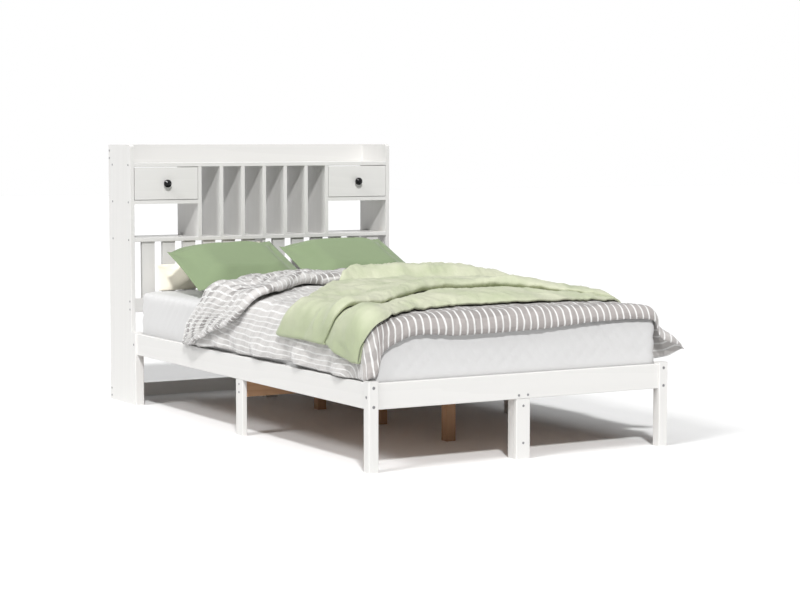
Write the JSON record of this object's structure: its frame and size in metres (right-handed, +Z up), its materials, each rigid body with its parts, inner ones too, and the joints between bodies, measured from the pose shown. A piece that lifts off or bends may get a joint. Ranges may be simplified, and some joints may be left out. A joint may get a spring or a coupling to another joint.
{
  "type": "bookcase headboard bed",
  "caption": "Double bed of lacquered pine slats and rails with a bookcase headboard that has open cells, a lattice and small sliding drawers, dressed with mattress, duvet, throw and pillows.",
  "frame": {"origin": "on the floor, under the middle of the whole bed's box", "axes": "+Z up, +Y from the foot towards the headboard, +X to the right seen from the foot"},
  "size_m": [1.35, 2.295, 1.1],
  "materials": {
    "white_pine": "white lacquer, satin",
    "natural_pine": "plain, matte",
    "bolt_steel": "zinc plated",
    "black_gloss": "gloss",
    "mattress_ticking": "quilted, matte",
    "striped_cotton": "matte, with thin white lines",
    "green_throw": "matte",
    "sage_cotton": "matte",
    "cream_cotton": "matte"
  },
  "bodies": {
    "bed": {"foot_post_left": "white_pine", "foot_post_right": "white_pine", "head_post_left": "white_pine", "head_post_right": "white_pine", "foot_rail": "white_pine", "head_rail": "white_pine", "side_rail_left": "white_pine", "side_rail_right": "white_pine", "foot_mid_leg": "white_pine", "mid_posts": "white_pine", "side_mid_leg_left": "white_pine", "side_mid_leg_right": "white_pine", "headboard_side_left": "white_pine", "headboard_side_right": "white_pine", "top_shelf": "white_pine", "lower_shelf": "white_pine", "drawer_shelf_left": "white_pine", "drawer_shelf_right": "white_pine", "partition_1": "white_pine", "partition_2": "white_pine", "partition_3": "white_pine", "partition_4": "white_pine", "partition_5": "white_pine", "partition_6": "white_pine", "partition_7": "white_pine", "upper_back_board": "white_pine", "kick_board": "white_pine", "centre_upright": "white_pine", "lattice_rail_left": "white_pine", "lattice_rail_right": "white_pine", "lattice_slats_left": "white_pine", "lattice_slats_right": "white_pine", "cross_beam": "natural_pine", "centre_beam": "natural_pine", "centre_legs": "natural_pine", "slat_ledger_left": "natural_pine", "slat_ledger_right": "natural_pine", "bed_slats": "natural_pine", "frame_bolts": "bolt_steel", "barrel_nuts": "bolt_steel", "mattress": "mattress_ticking", "duvet": "striped_cotton", "throw": "green_throw", "pillow_left": "sage_cotton", "pillow_right": "sage_cotton", "pillow_back": "cream_cotton"},
    "drawer_left": {"drawer_left_front": "white_pine", "drawer_left_side_left": "white_pine", "drawer_left_side_right": "white_pine", "drawer_left_back": "white_pine", "drawer_left_bottom": "white_pine", "drawer_left_knob": "black_gloss"},
    "drawer_right": {"drawer_right_front": "white_pine", "drawer_right_side_left": "white_pine", "drawer_right_side_right": "white_pine", "drawer_right_back": "white_pine", "drawer_right_bottom": "white_pine", "drawer_right_knob": "black_gloss"}
  },
  "joints": [
    {"name": "drawer_left_slide", "type": "slide", "parent": "bed", "child": "drawer_left", "axis": [0, -1, 0], "range_m": [0, 0.17]},
    {"name": "drawer_right_slide", "type": "slide", "parent": "bed", "child": "drawer_right", "axis": [0, -1, 0], "range_m": [0, 0.17]}
  ]
}
